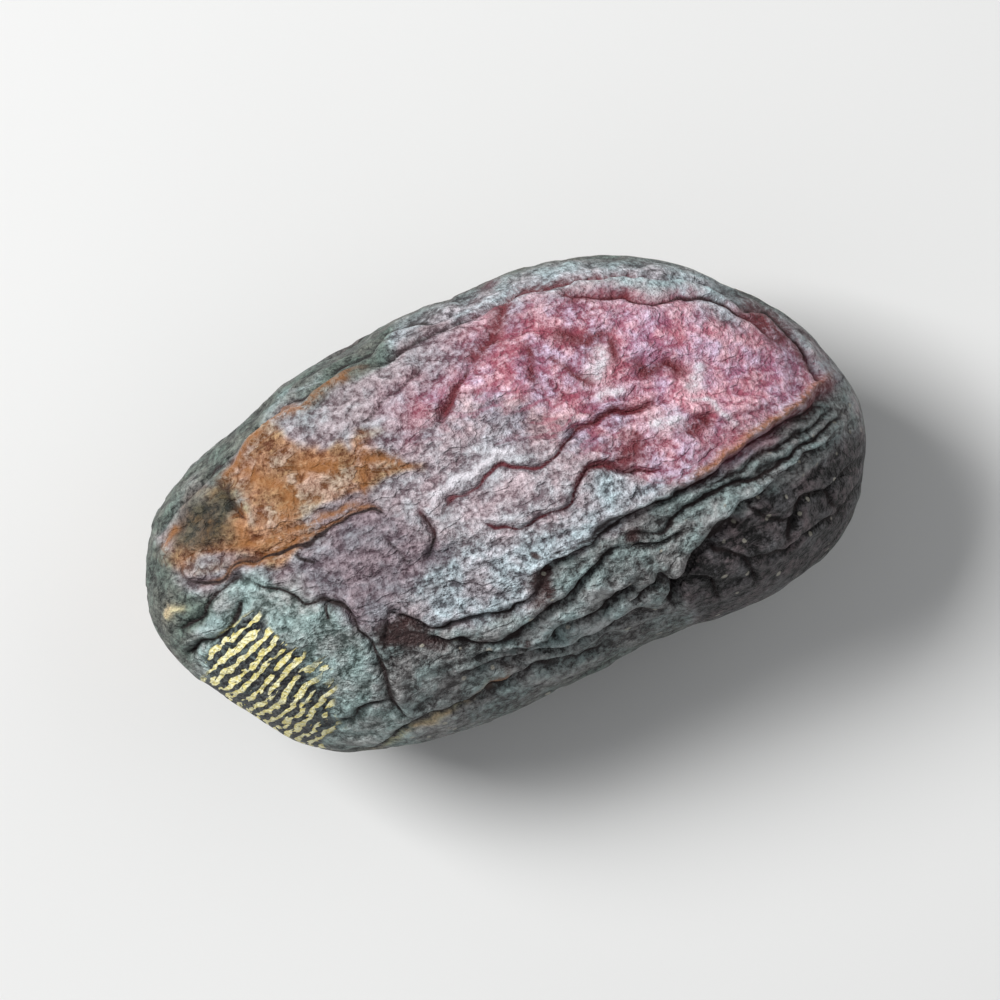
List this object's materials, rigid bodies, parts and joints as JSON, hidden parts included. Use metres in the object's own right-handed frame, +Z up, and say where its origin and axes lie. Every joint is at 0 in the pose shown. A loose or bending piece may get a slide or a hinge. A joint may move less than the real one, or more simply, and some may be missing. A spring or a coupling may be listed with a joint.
{
  "type": "date",
  "caption": "Dried date lying on its side: a plump wrinkled oval fruit with a blunt tip, and a small woody cap on its drooping stem end.",
  "frame": {"origin": "middle of the foot of the box that the date fills, on the surface it rests on", "axes": "+X runs along the date from the stem end to the tip, +Y across it towards its fuller side, +Z up from the flat spot it rests on"},
  "size_m": [0.0502, 0.0284, 0.0246],
  "materials": {
    "date_skin": "satin dark purple-brown skin with a grey waxy bloom",
    "date_calyx": "dry matte orange-brown"
  },
  "bodies": {
    "root": {"date_fruit": "date_skin", "calyx": "date_calyx"}
  },
  "joints": []
}
